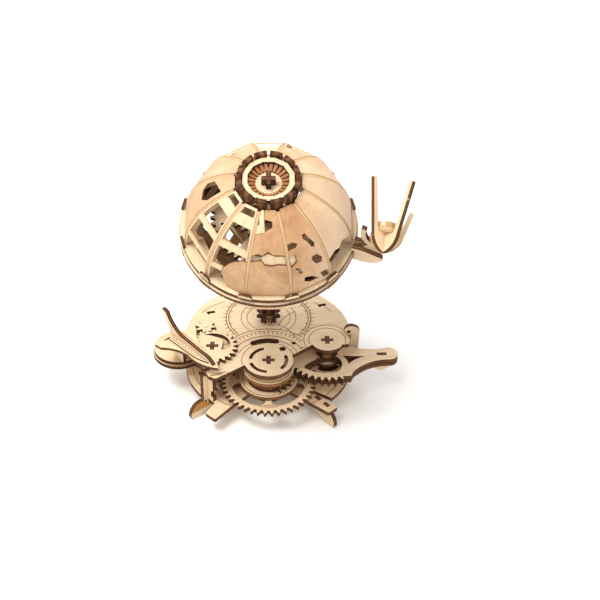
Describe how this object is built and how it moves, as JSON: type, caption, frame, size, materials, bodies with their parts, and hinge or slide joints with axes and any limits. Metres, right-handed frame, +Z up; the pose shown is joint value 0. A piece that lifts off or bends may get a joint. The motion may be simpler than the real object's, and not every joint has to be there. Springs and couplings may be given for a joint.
{
  "type": "orrery",
  "caption": "Laser-cut plywood orrery: a leaning globe on a crossed axle, driven by a hand lever through exposed gears, with a lift-off shuttle and satellite.",
  "frame": {"origin": "middle of the bounding box, on the table under the feet", "axes": "+Z up, the globe leans towards -Y, the lever's handle points to +X"},
  "size_m": [0.1732, 0.1412, 0.206],
  "materials": {
    "birch_ply": "satin",
    "burnt_ply": "matt, laser-burnt",
    "brown_slats": "matt, laser-burnt",
    "card": "thin stained card, matt"
  },
  "bodies": {
    "base": {"lower_plate": "birch_ply", "dial_plate": "birch_ply", "leg_front_right": "birch_ply", "leg_front_left": "birch_ply", "leg_back_left": "birch_ply", "leg_back_right": "birch_ply", "post_front_left": "birch_ply", "post_front_left_brace": "birch_ply", "post_hook_right": "birch_ply", "post_back_left": "birch_ply", "post_back_right": "birch_ply", "globe_bearings": "birch_ply", "bearing_cheeks": "birch_ply", "idler_seat": "birch_ply"},
    "hub": {"drive_gear": "birch_ply", "drive_disc": "birch_ply", "hub_pinion": "birch_ply", "hub_cap_disc": "birch_ply", "hub_axle": "birch_ply", "hub_rings": "birch_ply"},
    "lever": {"lever_lower": "birch_ply", "lever_upper": "birch_ply", "lever_peg": "birch_ply", "lever_axle": "birch_ply", "lever_rings": "birch_ply"},
    "idler": {"idler_gear": "birch_ply"},
    "left_train": {"left_gear": "birch_ply", "left_pinion": "birch_ply", "left_axle": "birch_ply", "left_rings": "birch_ply"},
    "small_train": {"small_pinion": "birch_ply", "small_pin": "birch_ply"},
    "paddle": {"paddle": "birch_ply", "shuttle_post": "birch_ply"},
    "shuttle": {"shuttle_wing": "birch_ply", "shuttle_spine": "burnt_ply"},
    "globe": {"globe_axle": "burnt_ply", "globe_gear": "birch_ply", "globe_foot_pinion": "birch_ply", "globe_collars": "birch_ply", "south_cap": "birch_ply", "south_ribs": "birch_ply", "south_gores": "card", "equator_ring_lower": "birch_ply", "equator_ring_upper": "birch_ply", "equator_washers": "birch_ply", "equator_clips": "birch_ply", "north_ribs": "birch_ply", "north_gores_front": "card", "north_gores_back": "card", "north_lattice": "birch_ply", "north_cap_plate": "birch_ply", "north_cap_arcs": "burnt_ply", "north_cap_ring": "birch_ply", "north_cap_slats": "brown_slats", "inner_gears": "birch_ply", "satellite_arm": "burnt_ply", "satellite_cradle": "birch_ply"},
    "satellite": {"satellite_plates": "birch_ply", "satellite_skin": "birch_ply"}
  },
  "joints": [
    {"name": "globe_spin", "type": "hinge", "parent": "base", "child": "globe", "pos_m": [-0.00456, 0.02921, 0.04], "axis": [0, -0.3987, 0.9171], "range_deg": [-112, 0]},
    {"name": "hub_spin", "type": "hinge", "parent": "base", "child": "hub", "pos_m": [-0.00456, -0.01789, 0], "axis": [0, 0, 1], "range_deg": [-1, 82]},
    {"name": "lever_swing", "type": "hinge", "parent": "base", "child": "lever", "pos_m": [0.03656, 0.00383, 0], "axis": [0, 0, 1], "range_deg": [-45, 0.5]},
    {"name": "idler_spin", "type": "hinge", "parent": "base", "child": "idler", "pos_m": [0.03656, 0.00383, 0], "axis": [0, 0, 1], "range_deg": [-170, 2]},
    {"name": "left_train_spin", "type": "hinge", "parent": "base", "child": "left_train", "pos_m": [-0.04345, -0.0066, 0], "axis": [0, 0, 1], "range_deg": [-284, 3]},
    {"name": "small_pinion_spin", "type": "hinge", "parent": "base", "child": "small_train", "pos_m": [-0.04905, 0.0152, 0], "axis": [0, 0, 1], "range_deg": [-8, 780]},
    {"name": "paddle_swing", "type": "hinge", "parent": "base", "child": "paddle", "pos_m": [-0.04345, -0.0066, 0], "axis": [0, 0, 1], "range_deg": [-10, 28]},
    {"name": "shuttle_lift", "type": "slide", "parent": "paddle", "child": "shuttle", "axis": [0, 0, 1], "range_m": [0, 0.025]},
    {"name": "satellite_lift", "type": "slide", "parent": "globe", "child": "satellite", "axis": [0, -0.3987, 0.9171], "range_m": [0, 0.025]}
  ],
  "couplings": [
    {"joint": "hub_spin", "follows": "globe_spin", "ratio": -0.71429},
    {"joint": "lever_swing", "follows": "globe_spin", "ratio": 0.39286},
    {"joint": "idler_spin", "follows": "globe_spin", "ratio": 1.5},
    {"joint": "left_train_spin", "follows": "globe_spin", "ratio": 2.5},
    {"joint": "small_pinion_spin", "follows": "globe_spin", "ratio": -6.875}
  ]
}
